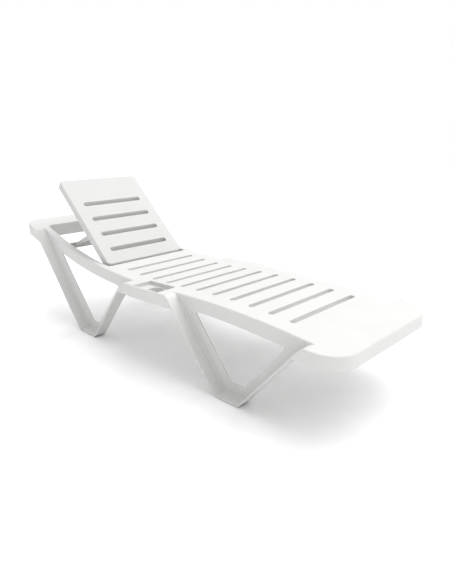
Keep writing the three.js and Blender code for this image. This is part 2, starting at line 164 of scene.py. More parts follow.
def length(name, description, default, low, high):
    """A length the user can change, given here in millimetres and held in metres."""
    return bpy.props.FloatProperty(
        name=name, description=description, default=default * MM, min=low * MM, max=high * MM,
        unit="LENGTH", precision=4)


def colour(name, description, code):
    """A colour the user can change, given here as an sRGB hex code and held as linear RGBA."""
    return bpy.props.FloatVectorProperty(
        name=name, description=description, default=linear(code), min=0.0, max=1.0, size=4, subtype="COLOR")


class LoungerSizes(bpy.types.PropertyGroup):
    """The sizes that shape every moulding."""
    wall: length("Wall", "Wall thickness of the mouldings", 4.5, 3.0, 6.0)
    deck_edge: length("Deck Edge", "Radius along the deck's outer edge", 8.0, 2.0, 9.0)
    wing_roll: length("Wing Roll", "Radius where a wing rolls over into a leg", 42.0, 8.0, 60.0)
    slot_width: length("Slot Width", "Width of every slot", 24.0, 12.0, 30.0)
    slot_edge: length("Slot Edge", "Radius along the slots' top edges", 1.8, 0.5, 3.0)


class LoungerColours(bpy.types.PropertyGroup):
    """The colour of each material."""
    frame_white: colour("Frame", "Colour of the frame moulding", "#DBDBDA")
    # the backrest's colour is the frame's white set darker: painted shade
    panel_shaded_white: colour("Backrest", "Colour of the backrest moulding", "#D3D3D2")
    # the prop's colour is the frame's white set greyer: painted shade
    prop_shaded_white: colour("Prop", "Colour of the prop moulding", "#D4D4D2")
    pin_white: colour("Pins", "Colour of the nylon pins", "#DEDCD6")
    pad_grey: colour("Pads", "Colour of the rubber pads", "#A9A8A4")
    floor_white: colour("Floor", "Colour of the floor", "#FDFDFD")


def size(name):
    """One of the user's sizes in millimetres, rounded to clear off the error of single precision."""
    return round(getattr(bpy.context.scene.lounger_sizes, name) / MM, 3)


def colours():
    """The user's colours."""
    return bpy.context.scene.lounger_colours


# ---------------------------------------------------------------- plain geometry in the side and plan views
MOST_OF_SIDE = 0.48        # how much of a side the arc at one of its ends may take up


def smooth_corner(before, corner, after, radius, steps):
    """Points of an arc that rounds one corner of an outline."""
    corner = Vector(corner)
    to_before = Vector(before) - corner
    to_after = Vector(after) - corner
    half = to_before.angle(to_after) / 2
    reach = min(radius / math.tan(half), MOST_OF_SIDE * to_before.length, MOST_OF_SIDE * to_after.length)
    start = corner + to_before.normalized() * reach
    end = corner + to_after.normalized() * reach
    points = []
    for i in range(steps + 1):
        t = i / steps
        # a conic through both tangent points, with the weight that makes it an arc
        weight = math.sin(half)
        a, b, c = (1 - t) ** 2, 2 * t * (1 - t) * weight, t**2
        points.append(tuple((start * a + corner * b + end * c) / (a + b + c)))
    return points


def rounded(points, radii, steps=5):
    """A closed outline with its corners rounded; radii is one number or one for each corner."""
    count = len(points)
    if not isinstance(radii, (list, tuple)):
        radii = [radii] * count
    result = []
    for i, point in enumerate(points):
        if radii[i] > 0:
            result += smooth_corner(points[i - 1], point, points[(i + 1) % count], radii[i], steps)
        else:
            result.append(tuple(point))
    return result


def shifted(path, distance):
    """An open path moved sideways: to its right for a positive distance."""
    result = []
    for i, point in enumerate(path):
        here = Vector(point)
        before = (here - Vector(path[max(i - 1, 0)])) if i else None
        after = (Vector(path[i + 1]) - here) if i < len(path) - 1 else None
        directions = [d.normalized() for d in (before, after) if d is not None and d.length > 1e-6]
        mean = sum(directions, Vector((0.0, 0.0))).normalized()
        stretch = 1 / max(mean.dot(directions[0]), 0.3)
        result.append((here.x + mean.y * distance * stretch, here.y - mean.x * distance * stretch))
    return result


def crossing(line_a, line_b):
    """Where two straight lines, each given by two points, cross."""
    (ax, az), (bx, bz) = line_a
    (cx, cz), (dx, dz) = line_b
    under = (bx - ax) * (dz - cz) - (bz - az) * (dx - cx)
    t = ((cx - ax) * (dz - cz) - (cz - az) * (dx - cx)) / under
    return ax + (bx - ax) * t, az + (bz - az) * t


EDGE_CLEARANCE = 11.0      # no station lies closer than this to one of the main edges
END_CLEARANCE = 3.0        # nor closer than this to an end of the stretch


def stations(x0, x1):
    """Places along the deck between x0 and x1: a grid set out from the slots, clear of the main edges."""
    step = SLOT_PITCH / 4
    edges = [HEAD_X, OPENING_HEAD_X, SEAT_X, FOOT_X]
    edges += [outline[corner][0] for outline in (HEAD_V, FOOT_V) for corner in (0, 3)]
    first = math.ceil((HEAD_X - FIRST_SLOT_X) / step)
    last = math.floor((FOOT_X - FIRST_SLOT_X) / step)
    grid = [FIRST_SLOT_X + i * step for i in range(first, last + 1)]
    clear = [x for x in grid if all(abs(x - edge) > EDGE_CLEARANCE for edge in edges)]
    return [x0] + [x for x in clear if x0 + END_CLEARANCE < x < x1 - END_CLEARANCE] + [x1]


def circle(x, y, radius, sides=40):
    """The outline of a circle."""
    turns = [math.tau * i / sides for i in range(sides)]
    return [(x + radius * math.cos(turn), y + radius * math.sin(turn)) for turn in turns]


def mirrored(side, inner, outer):
    """A stretch across the lounger on its left (side 1) or right (side -1), lower end first."""
    return sorted((side * inner, side * outer))


# ---------------------------------------------------------------- solids and how they are joined
def solid(faces_of_points):
    """A closed mesh object from lists of 3-D points, one list for each face."""
    mesh = bpy.data.meshes.new("solid")
    bm = bmesh.new()
    known = {}
    for points in faces_of_points:
        corners = []
        for point in points:
            key = tuple(round(value, 4) for value in point)
            if key not in known:
                known[key] = bm.verts.new(point)
            corners.append(known[key])
        bm.faces.new(corners)
    bmesh.ops.recalc_face_normals(bm, faces=bm.faces)
    bm.to_mesh(mesh)
    bm.free()
    made = bpy.data.objects.new("solid", mesh)
    bpy.context.scene.collection.objects.link(made)
    return made


def prism(outline, place_low, place_high):
    """A closed solid between two copies of an outline."""
    low = [place_low(point) for point in outline]
    high = [place_high(point) for point in outline]
    count = len(outline)
    sides = [[low[i], low[(i + 1) % count], high[(i + 1) % count], high[i]] for i in range(count)]
    return solid([low[::-1], high] + sides)


def side_prism(outline, y0, y1):
    """An outline in the side view (x, z), carried across from y0 to y1."""
    return prism(outline, lambda p: (p[0], y0, p[1]), lambda p: (p[0], y1, p[1]))


def plan_prism(outline, z0=-FAR, z1=FAR):
    """An outline in the plan view (x, y), carried up from z0 to z1."""
    return prism(outline, lambda p: (p[0], p[1], z0), lambda p: (p[0], p[1], z1))


def block(x0, x1, y0, y1, z0, z1):
    """A box between two corners."""
    return plan_prism([(x0, y0), (x1, y0), (x1, y1), (x0, y1)], z0, z1)


def slab(x0, x1, y0, y1, top, bottom):
    """A slab that follows the deck between two depths below its top."""
    along = stations(x0, x1)
    upper = [(x, deck(x) - top) for x in along]
    lower = [(x, deck(x) - bottom) for x in along]
    return side_prism(upper + lower[::-1], y0, y1)


def cross_cylinder(x, z, radius, y0, y1, sides=32):
    """A cylinder along Y."""
    return side_prism(circle(x, z, radius, sides), y0, y1)


def upright_cylinder(x, y, radius, z0, z1, sides=40):
    """A cylinder along Z."""
    return plan_prism(circle(x, y, radius, sides), z0, z1)


def stadium(x, y, width, length, steps=8):
    """A slot's outline, long along Y with round ends."""
    r = width / 2
    straight = length / 2 - r
    upper = [(x + r * math.cos(math.pi * i / steps), y + straight + r * math.sin(math.pi * i / steps))
             for i in range(steps + 1)]
    lower = [(x - r * math.cos(math.pi * i / steps), y - straight - r * math.sin(math.pi * i / steps))
             for i in range(steps + 1)]
    return upper + lower


def loft(sections, loop=False):
    """A closed solid through matching cross-sections, capped at both ends unless it is a loop."""
    faces = [] if loop else [sections[0][::-1], sections[-1]]
    following = sections[1:] + sections[:1] if loop else sections[1:]
    for near, far in zip(sections, following):
        for i in range(len(near)):
            j = (i + 1) % len(near)
            faces.append([near[i], near[j], far[j], far[i]])
    return solid(faces)


def fillet_section(point, first, second, radius, overlap, steps=5):
    """A cross-section between a corner and the arc that touches both of its sides."""
    reach = 10 * radius
    arc = smooth_corner(point + first * reach, point, point + second * reach, radius, steps)
    back = -(first + second) * overlap
    return arc + [tuple(Vector(arc[-1]) - first * overlap), tuple(point + back),
                  tuple(Vector(arc[0]) - second * overlap)]


LONG_SIDE = 30.0           # a side longer than this along X gets points of its own


def along_deck(outline):
    """A closed plan outline with points added wherever the deck's stations cross it."""
    result = []
    for (x0, y0), (x1, y1) in zip(outline, outline[1:] + outline[:1]):
        result.append((x0, y0))
        if abs(x1 - x0) > LONG_SIDE:
            inner = stations(*sorted((x0, x1)))[1:-1]
            ordered = inner if x1 > x0 else inner[::-1]
            result += [(x, y0 + (y1 - y0) * (x - x0) / (x1 - x0)) for x in ordered]
    return result


CUTTER_OVERLAP = 1.5       # how far an edge cutter stands out from the edge it rounds


def edge_cutter(path, radius_at, to_material, height=deck, loop=True, steps=5):
    """What to take off a top edge to round it; to_material is 1 if the material lies left of the path."""
    sections = []
    for i, (x, y) in enumerate(path):
        before = path[i - 1] if (loop or i) else path[i]
        after = path[(i + 1) % len(path)] if (loop or i < len(path) - 1) else path[i]
        run = Vector((after[0] - before[0], after[1] - before[1])).normalized()
        slope = (height(x + 1) - height(x - 1)) / 2
        across = Vector((-run.y, run.x)) * to_material
        inwards = Vector((across.x, across.y, slope * across.x)).normalized()
        point = Vector((x, y, height(x)))
        down = Vector((0, 0, -1))
        sections.append(fillet_section(point, inwards, down, radius_at(x), CUTTER_OVERLAP, steps))
    return loft(sections, loop)


def boolean(base, other, operation):
    """base joined with, or cut by, other, which is used up."""
    modifier = base.modifiers.new("join", "BOOLEAN")
    modifier.operation = operation
    modifier.object = other
    modifier.solver = "MANIFOLD"
    graph = bpy.context.evaluated_depsgraph_get()
    mesh = bpy.data.meshes.new_from_object(base.evaluated_get(graph))
    base.modifiers.clear()
    base.data = mesh
    bpy.data.objects.remove(other)
    if not mesh.polygons:
        raise RuntimeError(f"a {operation.lower()} left nothing of {base.name}")
    return base


def union(base, *others):
    """base joined with each of the others."""
    for other in others:
        base = boolean(base, other, "UNION")
    return base


def cut(base, *others):
    """base with each of the others taken away."""
    for other in others:
        base = boolean(base, other, "DIFFERENCE")
    return base


def common(base, *others):
    """The part of base that lies inside all the others."""
    for other in others:
        base = boolean(base, other, "INTERSECT")
    return base


# ---------------------------------------------------------------- rounding and finishing a piece
SAME_PLACE = 0.02          # vertices closer than this are one
NO_LENGTH = 0.005          # an edge shorter than this is taken out of a finished piece
FLAT = math.radians(0.08)          # faces that turn less than this make one
LEAST_ROUNDED = math.radians(22)   # edges that turn less than this stay as they are
SHARP = math.radians(38)           # and those that turn less than this are shaded smooth


def clean(bm):
    """Joins vertices in one place and makes flat faces whole."""
    bmesh.ops.remove_doubles(bm, verts=bm.verts, dist=SAME_PLACE)
    bmesh.ops.dissolve_degenerate(bm, edges=bm.edges, dist=SAME_PLACE)
    bmesh.ops.dissolve_limit(bm, angle_limit=FLAT, verts=bm.verts, edges=bm.edges)


def round_edges(piece, radius, segments, concave_too=False):
    """Rounds the piece's edges, and leaves the concave ones sharp unless told otherwise."""
    bm = bmesh.new()
    bm.from_mesh(piece.data)
    clean(bm)
    weights = bm.edges.layers.float.new("bevel_weight_edge")
    for edge in bm.edges:
        if len(edge.link_faces) != 2 or edge.calc_face_angle(0.0) < LEAST_ROUNDED:
            continue
        edge[weights] = 1.0 if concave_too or not is_concave(edge) else 0.0
    bm.to_mesh(piece.data)
    bm.free()
    bevel = piece.modifiers.new("rounding", "BEVEL")
    bevel.limit_method = "WEIGHT"
    bevel.width = radius
    bevel.segments = segments
    bevel.use_clamp_overlap = True
    bevel.miter_outer = "MITER_SHARP"
    graph = bpy.context.evaluated_depsgraph_get()
    mesh = bpy.data.meshes.new_from_object(piece.evaluated_get(graph))
    piece.modifiers.clear()
    piece.data = mesh


def is_concave(edge):
    """True if the two faces fold inwards."""
    first, second = edge.link_faces
    towards_second = second.calc_center_median() - edge.verts[0].co
    return first.normal.dot(towards_second) > 1e-4


def islands(bm):
    """The faces in sets that hang together by their edges."""
    left = set(bm.faces)
    found = []
    while left:
        waiting = [left.pop()]
        island = list(waiting)
        while waiting:
            for edge in waiting.pop().edges:
                for face in edge.link_faces:
                    if face in left:
                        left.remove(face)
                        waiting.append(face)
                        island.append(face)
        found.append(island)
    return found


SMALLEST_SOLID = 8         # no solid here has fewer triangles than this


def drop_slivers(piece):
    """Triangulates the piece, and takes out faces with no area and scraps that enclose nothing."""
    bm = bmesh.new()
    bm.from_mesh(piece.data)
    bmesh.ops.triangulate(bm, faces=bm.faces)
    bmesh.ops.dissolve_degenerate(bm, edges=bm.edges, dist=NO_LENGTH)
    scraps = []
    for island in islands(bm):
        if len(island) < SMALLEST_SOLID:
            scraps.extend(island)
    bmesh.ops.delete(bm, geom=scraps, context="FACES")
    bm.to_mesh(piece.data)
    bm.free()


LARGE_FACES_LEAD = 100     # weighted normals that follow the largest faces


def finish_piece(piece, name, body, material, replaced, placing=None):
    """Names the piece, scales it to metres, gives it its finish and body, and hides the CAD nodes it
    replaces.
    """
    piece.name = name
    piece.data.name = name
    drop_slivers(piece)
    if placing is not None:
        piece.data.transform(placing)
    piece.data.transform(Matrix.Scale(MM, 4))
    piece.data.materials.clear()
    piece.data.materials.append(material)
    for polygon in piece.data.polygons:
        polygon.use_smooth = True
    piece.data.set_sharp_from_angle(angle=SHARP)
    normals = piece.modifiers.new("even_normals", "WEIGHTED_NORMAL")
    normals.keep_sharp = True
    normals.weight = LARGE_FACES_LEAD
    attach(piece, body)
    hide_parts(*replaced)


# ---------------------------------------------------------------- materials
def node(tree, kind, links=(), **settings):
    """Adds a node; settings are its properties or input values, links are (input, output socket)."""
    made = tree.nodes.new(kind)
    for key, value in settings.items():
        if key in made.inputs:
            made.inputs[key].default_value = value
        else:
            setattr(made, key, value)
    for target, source in links:
        tree.links.new(made.inputs[target], source)
    return made


ROUGHNESS_SPREAD = 0.06
WAVE_MM = 90               # from crest to crest of the slow waviness that cooling leaves
FLOW_MM = 150              # across one of the marks that the plastic's flow leaves
FLOW_SHADE = 0.975         # how dark the darkest of them are


def smooth_skin(name, base, roughness, grain, grain_mm):
    """A non-metallic skin: one even colour, a satin or matt gloss, faint waviness and a fine grain."""
    material = bpy.data.materials.new(name)
    material.use_nodes = True
    tree = material.node_tree
    shader = tree.nodes["Principled BSDF"]
    place = node(tree, "ShaderNodeTexCoord").outputs["Object"]
    # the real grain is about 0.1 mm; it is drawn coarser so that it shows
    fine = node(tree, "ShaderNodeTexNoise", [("Vector", place)],
                Scale=1 / (grain_mm * MM), Detail=3.0, Roughness=0.6)
    slow = node(tree, "ShaderNodeTexNoise", [("Vector", place)], Scale=1 / (WAVE_MM * MM), Detail=1.0)
    waviness = node(tree, "ShaderNodeBump", [("Height", slow.outputs["Fac"])],
                    Strength=0.25, Distance=1.2 * MM)
    bump = node(tree, "ShaderNodeBump",
                [("Height", fine.outputs["Fac"]), ("Normal", waviness.outputs["Normal"])],
                Strength=grain, Distance=0.25 * MM)
    gloss = node(tree, "ShaderNodeMapRange", [("Value", fine.outputs["Fac"])])
    gloss.inputs["To Min"].default_value = roughness - ROUGHNESS_SPREAD
    gloss.inputs["To Max"].default_value = roughness + ROUGHNESS_SPREAD
    flow = node(tree, "ShaderNodeTexNoise", [("Vector", place)], Scale=1 / (FLOW_MM * MM), Detail=2.0)
    pigment = node(tree, "ShaderNodeValToRGB", [("Fac", flow.outputs["Fac"])])
    pigment.color_ramp.elements[0].position = 0.3
    pigment.color_ramp.elements[0].color = [v * FLOW_SHADE for v in base[:3]] + [1.0]
    pigment.color_ramp.elements[1].position = 0.7
    pigment.color_ramp.elements[1].color = base
    tree.links.new(shader.inputs["Base Color"], pigment.outputs["Color"])
    tree.links.new(shader.inputs["Roughness"], gloss.outputs["Result"])
    tree.links.new(shader.inputs["Normal"], bump.outputs["Normal"])
    shader.inputs["IOR"].default_value = 1.49
    return material


def moulded_polypropylene(base):
    # injection-moulded polypropylene: white all through, with a satin skin that softens every highlight
    return smooth_skin("moulded_polypropylene", base, 0.48, 0.35, 1.2)


def shaded_panel_polypropylene(base):
    # the backrest's white polypropylene, from a smoother mould, so its sheen is a little clearer; its colour
    # is the frame's white set a little darker, as painted shade
    return smooth_skin("moulded_polypropylene_panel_painted_shade", base, 0.46, 0.3, 1.2)


def shaded_prop_polypropylene(base):
    # the same white polypropylene as the frame, with its colour set a little greyer: painted shade for the
    # prop, which hangs in the shade under the backrest
    return smooth_skin("moulded_polypropylene_prop_painted_shade", base, 0.45, 0.3, 1.0)


def moulded_nylon(base):
    # natural nylon: warmer and a little glossier than the frame
    return smooth_skin("moulded_nylon", base, 0.35, 0.15, 0.8)


def moulded_rubber(base):
    # thermoplastic rubber: matt, with a coarse non-slip grain
    return smooth_skin("moulded_rubber", base, 0.8, 0.9, 2.0)


def painted_floor(base):
    # a floor in thick matt paint: pale, with no grain and no clear reflection
    return smooth_skin("painted_floor", base, 0.7, 0.0, 3.0)


# ---------------------------------------------------------------- the frame moulding
def leg_inner(outline, web):
    """The corners of a leg's open triangle, down to the top of its sole's web."""
    top, heel, toe, end = outline
    head_line = [(top[0] + web["head_side"], top[1]), (heel[0] + web["head_side"], heel[1])]
    foot_line = [(toe[0] - web["foot_side"], toe[1]), (end[0] - web["foot_side"], end[1])]
    level = [(-FAR, web["rise"]), (FAR, web["rise"])]
    return head_line, crossing(head_line, level), crossing(foot_line, level), foot_line


def below_deck_crossing(line, depth):
    """Where a leg's line meets the curve a given depth below the deck."""
    (x0, z0), (x1, z1) = line
    low, high = 0.0, 1.0
    above_at_start = z0 > deck(x0) - depth
    for _ in range(40):
        t = (low + high) / 2
        x, z = x0 + (x1 - x0) * t, z0 + (z1 - z0) * t
        if (z > deck(x) - depth) == above_at_start:
            low = t
        else:
            high = t
    return x, z


def on_line(first, second, x):
    """The point at x on the straight line through two points."""
    return x, first[1] + (second[1] - first[1]) * (x - first[0]) / (second[0] - first[0])


ARM_OVERRUN = 60.0         # how far, along X, a leg's arm is carried on to find where it meets the deck
WING_REACH = 2.2           # a wing starts this many times its roll's radius away from the arm
SOLE_BEND = 7.0            # radius where an arm turns into the sole
LEAST_STEP = 0.5           # points of the ribbon closer than this are one


def ribbon_path(wall, roll):
    """The top of the moulding beside the rails: wing, down and up a leg, wing, leg, wing."""
    path = []
    reach = WING_REACH * roll
    previous_end = HEAD_X
    for outline in (HEAD_V, FOOT_V):
        top, heel, toe, end = shifted(outline, -wall)
        start = below_deck_crossing([on_line(top, heel, top[0] - ARM_OVERRUN), heel], 0)
        finish = below_deck_crossing([on_line(end, toe, end[0] + ARM_OVERRUN), toe], 0)
        before = (start[0] - reach, deck(start[0] - reach))
        after = (finish[0] + reach, deck(finish[0] + reach))
        path += [(x, deck(x)) for x in stations(previous_end, before[0])]
        path += smooth_corner(before, start, heel, roll, steps=8)
        path += arm_points(start, heel, roll)
        path += smooth_corner(start, heel, toe, SOLE_BEND, steps=4)
        path += smooth_corner(heel, toe, finish, SOLE_BEND, steps=4)
        path += arm_points(finish, toe, roll)[::-1]
        path += smooth_corner(toe, finish, after, roll, steps=8)
        previous_end = after[0]
    path += [(x, deck(x)) for x in stations(previous_end, FOOT_X)]
    return [p for i, p in enumerate(path) if not i or (Vector(p) - Vector(path[i - 1])).length > LEAST_STEP]


def ribbon_depth(path, x):
    """How far below the deck the ribbon's top is at x."""
    for (x0, z0), (x1, z1) in zip(path, path[1:]):
        if x0 <= x <= x1:
            return deck(x) - (z0 + (z1 - z0) * (x - x0) / max(x1 - x0, 1e-6))
    return 0.0


SPAN_MARGIN = 40.0         # how far past a leg's corners to look for the ends of its span
SPAN_STEP = 0.5            # and how finely
LEAST_DEPTH = 0.5          # the ribbon is clear of the deck from this depth on
LEAST_RADIUS = 0.4         # what a rounding fades out to
FADE_STEP = 2.0            # spacing of the sections where a rounding fades out
FADE_COUNT = 14
FADE_LENGTH = 27.0         # the coarser sections start here
FILLET_START = 4.0         # from the ends of a leg's span
FILLET_SHARE = 0.3         # a fillet takes up at most this share of the ribbon's depth
FILLET_OVERLAP = 1.2       # how far a fillet reaches into the walls that it joins
CREASE_RADIUS = 5.0


def leg_spans(path):
    """Where the ribbon is clear of the deck: one (start, end) pair along X for each leg."""
    spans = []
    for outline in (HEAD_V, FOOT_V):
        start, end = outline[0][0] - SPAN_MARGIN, outline[3][0] + SPAN_MARGIN
        places = [start + SPAN_STEP * i for i in range(int((end - start) / SPAN_STEP))]
        clear = [x for x in places if ribbon_depth(path, x) > LEAST_DEPTH]
        spans.append((clear[0], clear[-1]))
    return spans


def rail_edge_cutters(path, radius, side):
    """Rounds the rail's top edge beside each leg, fading out where the wings start."""
    cutters = []
    for start, end in leg_spans(path):
        fading = [place for i in range(FADE_COUNT) for place in (start + FADE_STEP * i, end - FADE_STEP * i)]
        middle = [x for x in stations(start, end) if start + FADE_LENGTH < x < end - FADE_LENGTH]
        line = [(x, side * HALF_RAIL) for x in sorted(set(fading + middle))]
        cutters.append(edge_cutter(
            line, lambda x: max(LEAST_RADIUS, min(radius, ribbon_depth(path, x))), -side, loop=False))
    return cutters


def crease_fillets(path, radius, side):
    """The concave fillet where each leg's flange meets its web, fading out towards the wings."""
    fillets = []
    outwards = Vector((0, side, 0))
    raised = shifted(path, -1.0)
    for start, end in leg_spans(path):
        sections = []
        for (x, z), (raised_x, raised_z) in zip(path, raised):
            if not start + FILLET_START < x < end - FILLET_START:
                continue
            normal = Vector((raised_x - x, 0, raised_z - z)).normalized()
            fillet = max(LEAST_RADIUS, min(radius, FILLET_SHARE * ribbon_depth(path, x)))
            corner = Vector((x, side * HALF_RAIL, z))
            sections.append(fillet_section(corner, outwards, normal, fillet, FILLET_OVERLAP))
        fillets.append(loft(sections))
    return fillets


FIRST_ARM_POINT = 16.0     # past the wing's roll
ARM_POINT_STEP = 12.0
ARM_POINT_COUNT = 6


def arm_points(top, bottom, roll):
    """Extra points down the upper end of a leg's arm, where its edge thins out below the wing."""
    length = (Vector(bottom) - Vector(top)).length
    places = [roll + FIRST_ARM_POINT + ARM_POINT_STEP * i for i in range(ARM_POINT_COUNT)]
    return [tuple(Vector(top).lerp(Vector(bottom), place / length)) for place in places]


def rounded_end(inner_x, outer_x, half, radius):
    """A plan outline, square on its inner side, with two rounded corners on its outer side."""
    corners = [(inner_x, -half), (outer_x, -half), (outer_x, half), (inner_x, half)]
    return rounded(corners, [0, radius, radius, 0], steps=14)


HEAD_RADIUS = 70.0
FOOT_RADIUS = 108.0
SKIRT_LENGTH = 260.0       # further than from either end to its legs' flanges
PAST = 20.0                # how far a cutting solid stands out past what it cuts


def end_skirts(wall):
    """The skirts round the foot panel and the head end, back to where the legs' flanges start."""
    pieces = []
    foot_line = [FOOT_V[2], FOOT_V[3]]
    head_line = [HEAD_V[0], HEAD_V[1]]
    for outer_x, radius, line in ((FOOT_X, FOOT_RADIUS, foot_line), (HEAD_X, HEAD_RADIUS, head_line)):
        side = math.copysign(1, outer_x)
        inner_x = outer_x - side * SKIRT_LENGTH
        inside = rounded_end(inner_x - side * PAST, outer_x - side * wall, HALF_WIDTH - wall, radius - wall)
        wall_ring = cut(plan_prism(rounded_end(inner_x, outer_x, HALF_WIDTH, radius)), plan_prism(inside))
        x0, x1 = sorted((inner_x, outer_x + side))
        wall_ring = common(wall_ring, slab(x0, x1, -FAR, FAR, 0, APRON_DEPTH))
        ground, top = sorted(line, key=lambda p: p[1])
        limit = [ground, (side * FAR, ground[1]), (side * FAR, FAR), (top[0], FAR), top]
        pieces.append(common(wall_ring, side_prism(limit, -FAR, FAR)))
    return pieces


def middle_apron(wall, side):
    """The outer skirt of a middle wing, between the two legs' flanges."""
    outline = [(HEAD_V[3][0], FAR), HEAD_V[3], HEAD_V[2], FOOT_V[1], FOOT_V[0], (FOOT_V[0][0], FAR)]
    y0, y1 = mirrored(side, HALF_WIDTH - wall, HALF_WIDTH)
    skirt = slab(HEAD_V[2][0], FOOT_V[1][0], y0, y1, 0, APRON_DEPTH)
    return common(skirt, side_prism(outline, -FAR, FAR))


UNDER_SKIN = 1.0           # what hangs below the deck starts this far inside its skin
WEB_CORNER = 9.0           # radii of the open triangle's corners
FOOT_SIDE_CORNER = 11.0
THROUGH = 5.0              # how far a cutter passes a thin wall on each side


def leg_web(outline, web, wall, side):
    """The flat web of a leg and of the rail above it, round the open triangle."""
    top, heel, toe, end = outline
    along = stations(top[0], end[0])
    plate_outline = [(x, deck(x) - UNDER_SKIN) for x in along] + [toe, heel]
    y0, y1 = mirrored(side, HALF_RAIL - wall, HALF_RAIL)
    plate = side_prism(plate_outline, y0, y1)
    head_line, heel_corner, toe_corner, foot_line = leg_inner(outline, web)
    head_top = below_deck_crossing(head_line, RAIL_DEPTH)
    foot_top = below_deck_crossing(foot_line, RAIL_DEPTH)
    rail_line = [(x, deck(x) - RAIL_DEPTH) for x in stations(head_top[0], foot_top[0])]
    corners = [heel_corner, toe_corner] + rail_line[::-1]
    radii = [WEB_CORNER, WEB_CORNER, FOOT_SIDE_CORNER] + [0] * (len(rail_line) - 2) + [WEB_CORNER]
    return cut(plate, side_prism(rounded(corners, radii), y0 - THROUGH, y1 + THROUGH))


def slot_outlines(extra=0.0):
    """The outlines of the deck's slots, grown by extra on every side."""
    width = size("slot_width") + 2 * extra
    places = [FIRST_SLOT_X + i * SLOT_PITCH for i in range(SLOT_COUNT)]
    return [stadium(x, 0, width, SLOT_LENGTH + 2 * extra) for x in places]


RIB = 3.0                  # thickness of the ribs
RIB_INSET = 2.0            # the ribs start this far inside the skin of the deck and the rails
LONG_RIB_START = 2.0       # from the edge of the opening
LONG_RIB_END = 3.0         # from the foot end
LONG_RIB_DEPTH = 34.0
SLOT_RIB_DEPTH = 24.0
FOOT_RIB_DEPTH = 30.0
FOOT_RIBS = (190.0, 100.0)         # from the foot end
ALONGSIDE = 60.0           # reach of the slab that a cross rib is taken from


def cross_rib(x, depth):
    """A rib across the deck, between the webs of the rails."""
    half = HALF_RAIL - RIB_INSET
    return common(block(x - RIB / 2, x + RIB / 2, -half, half, 0, FAR),
                  slab(x - ALONGSIDE, x + ALONGSIDE, -FAR, FAR, RIB_INSET, depth))


def deck_ribs():
    """Stiffening ribs under the deck: two along it, one across it between slots and two at the foot."""
    long_ribs = [slab(SEAT_X + LONG_RIB_START, FOOT_X - LONG_RIB_END, y, y + RIB, RIB_INSET, LONG_RIB_DEPTH)
                 for y in (-OPENING_HALF - RIB_INSET, OPENING_HALF + RIB_INSET - RIB)]
    slot_ribs = [cross_rib(FIRST_SLOT_X + (i + 0.5) * SLOT_PITCH, SLOT_RIB_DEPTH)
                 for i in range(SLOT_COUNT - 1)]
    foot_ribs = [cross_rib(FOOT_X - from_end, FOOT_RIB_DEPTH) for from_end in FOOT_RIBS]
    return long_ribs + slot_ribs + foot_ribs


COLLAR = 3.0               # thickness of the collar under each slot
COLLAR_DEPTH = 20.0
COLLAR_REACH = 30.0        # reach of the slab that a collar is taken from
TRAY_LOW, TRAY_HIGH = node_box("cup_tray")
TRAY_WALL = 3.0
TRAY_DEPTH = 18.0
TRAY_CORNER = 4.0
TRAY_FLOOR = TRAY_HIGH.z - TRAY_DEPTH
CUP_PLACE = (72.0, -272.0)
CUP_RADIUS = 39.0
CUP_DRAIN = 4.0            # radius of the drain in the cup's hollow
SHELL_DEPTH = 200.0        # deeper than the cup's hollow


def tray_outline(margin=0.0):
    """The tray's square recess seen from above, grown by a margin."""
    low, high = TRAY_LOW, TRAY_HIGH
    shrink = TRAY_WALL - margin
    corners = [(low.x + shrink, low.y + shrink), (high.x - shrink, low.y + shrink),
               (high.x - shrink, high.y - shrink), (low.x + shrink, high.y - shrink)]
    return rounded(corners, TRAY_CORNER + margin, steps=4)


def tray_solids(margin):
    """The tray's square recess and the cup's round hollow, grown by a margin."""
    floor = TRAY_FLOOR - margin
    basin = plan_prism(tray_outline(margin), floor, TRAY_HIGH.z + 2 * PAST)
    well_floor = TRAY_LOW.z + TRAY_WALL - margin
    well = upright_cylinder(*CUP_PLACE, CUP_RADIUS + margin, well_floor, floor + TRAY_DEPTH / 2)
    return basin, well


OPENING_EDGE = 4.0         # radius along the top edge of the backrest's opening
HEAD_CORNER = 20.0         # radii of the opening's corners
SEAT_CORNER = 6.0


def edge_cutters(outline, path):
    """Everything that rounds the frame's top edges."""
    deck_edge, slot_edge = size("deck_edge"), size("slot_edge")
    cutters = [edge_cutter(along_deck(outline), lambda x: deck_edge, 1),
               edge_cutter(along_deck(opening_outline()), lambda x: OPENING_EDGE, -1)]
    for side in (-1, 1):
        cutters += rail_edge_cutters(path, deck_edge, side)
    for slot in slot_outlines() + [tray_outline()]:
        cutters.append(edge_cutter(slot, lambda x: slot_edge, -1, steps=3))
    cup = circle(*CUP_PLACE, CUP_RADIUS)
    cutters.append(edge_cutter(cup, lambda x: slot_edge, -1, lambda x: TRAY_FLOOR, steps=3))
    return cutters


def opening_outline(margin=0.0):
    """The backrest's opening seen from above, grown by a margin."""
    half = OPENING_HALF + margin
    corners = [(OPENING_HEAD_X - margin, -half), (SEAT_X + margin, -half),
               (SEAT_X + margin, half), (OPENING_HEAD_X - margin, half)]
    head = HEAD_CORNER + margin
    return rounded(corners, [head, SEAT_CORNER, SEAT_CORNER, head], steps=6)


SKIRT_REACH = 30.0         # past the opening at both ends
HEAD_SKIRT_END = 8.0       # from the opening's head end to where the skirt gets shallower
SEAT_SKIRT_START = 12.0    # from its seat end to where the skirt gets shallower again
SEAT_SKIRT_DEPTH = 30.0
SKIRT_LAP = 0.5            # how far one stretch of the skirt reaches into the next


